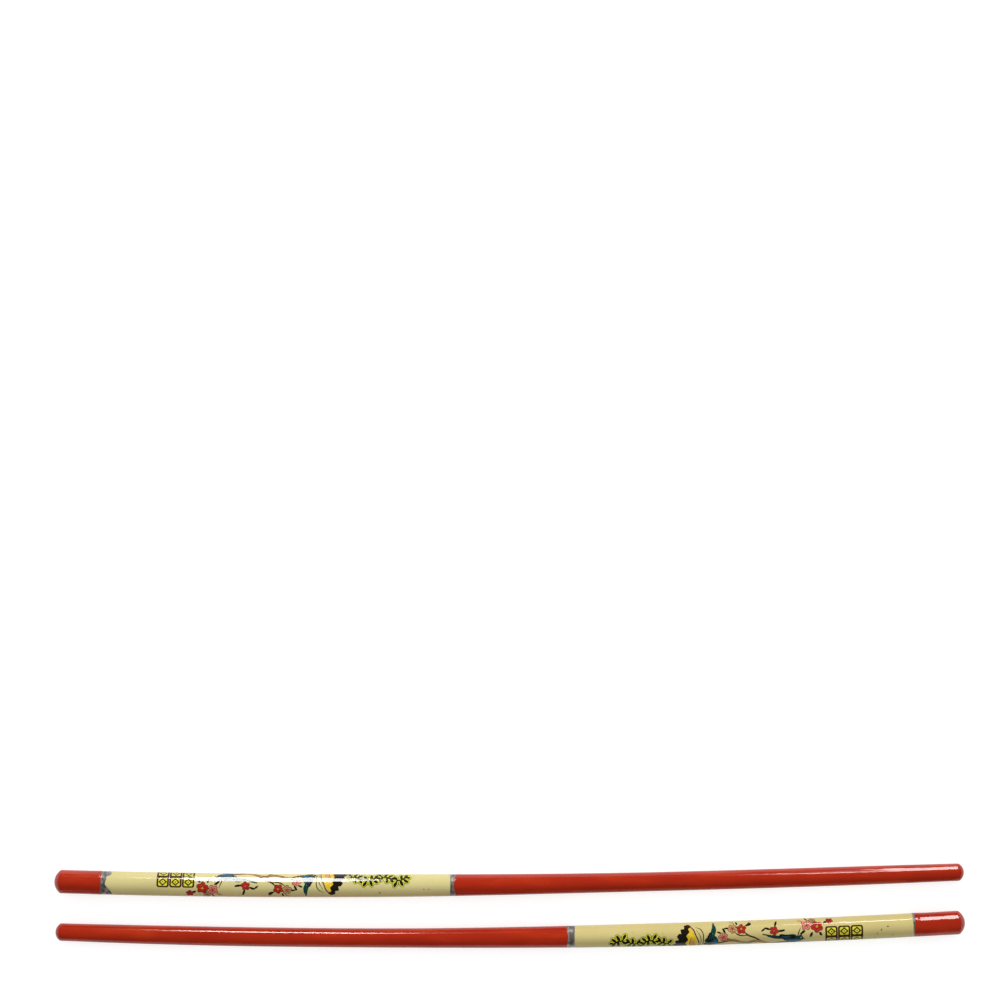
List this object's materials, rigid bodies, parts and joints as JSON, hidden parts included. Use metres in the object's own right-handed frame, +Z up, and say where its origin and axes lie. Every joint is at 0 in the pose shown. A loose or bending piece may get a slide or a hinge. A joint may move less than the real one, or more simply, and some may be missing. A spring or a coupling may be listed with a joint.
{
  "type": "pair of bamboo chopsticks",
  "caption": "Round lacquered bamboo chopsticks lying head to tail, each with a red dipped head, a cream printed grip, silver bands and a red shank that tapers to a blunt tip.",
  "frame": {"origin": "on the table, under the middle of the pair's box", "axes": "+X along the sticks: the back stick's head is at -X and the front stick's head at +X. +Y from the front stick to the back stick. +Z up from the table."},
  "size_m": [0.24, 0.022, 0.0065],
  "materials": {
    "lacquered_bamboo": "bamboo under thick hand-dipped red lacquer, glossy and a little rippled",
    "red_lacquer": "glossy, rippled along the stick where it ran and dried",
    "cream_film": "glossy printed film",
    "silver_ground": "thin mottled silver paint, satin",
    "print_inks": "flat printed inks in green, red, pink, teal, yellow and black under the film's gloss"
  },
  "bodies": {
    "root": {"back_chopstick": "lacquered_bamboo", "front_chopstick": "lacquered_bamboo"}
  },
  "joints": []
}
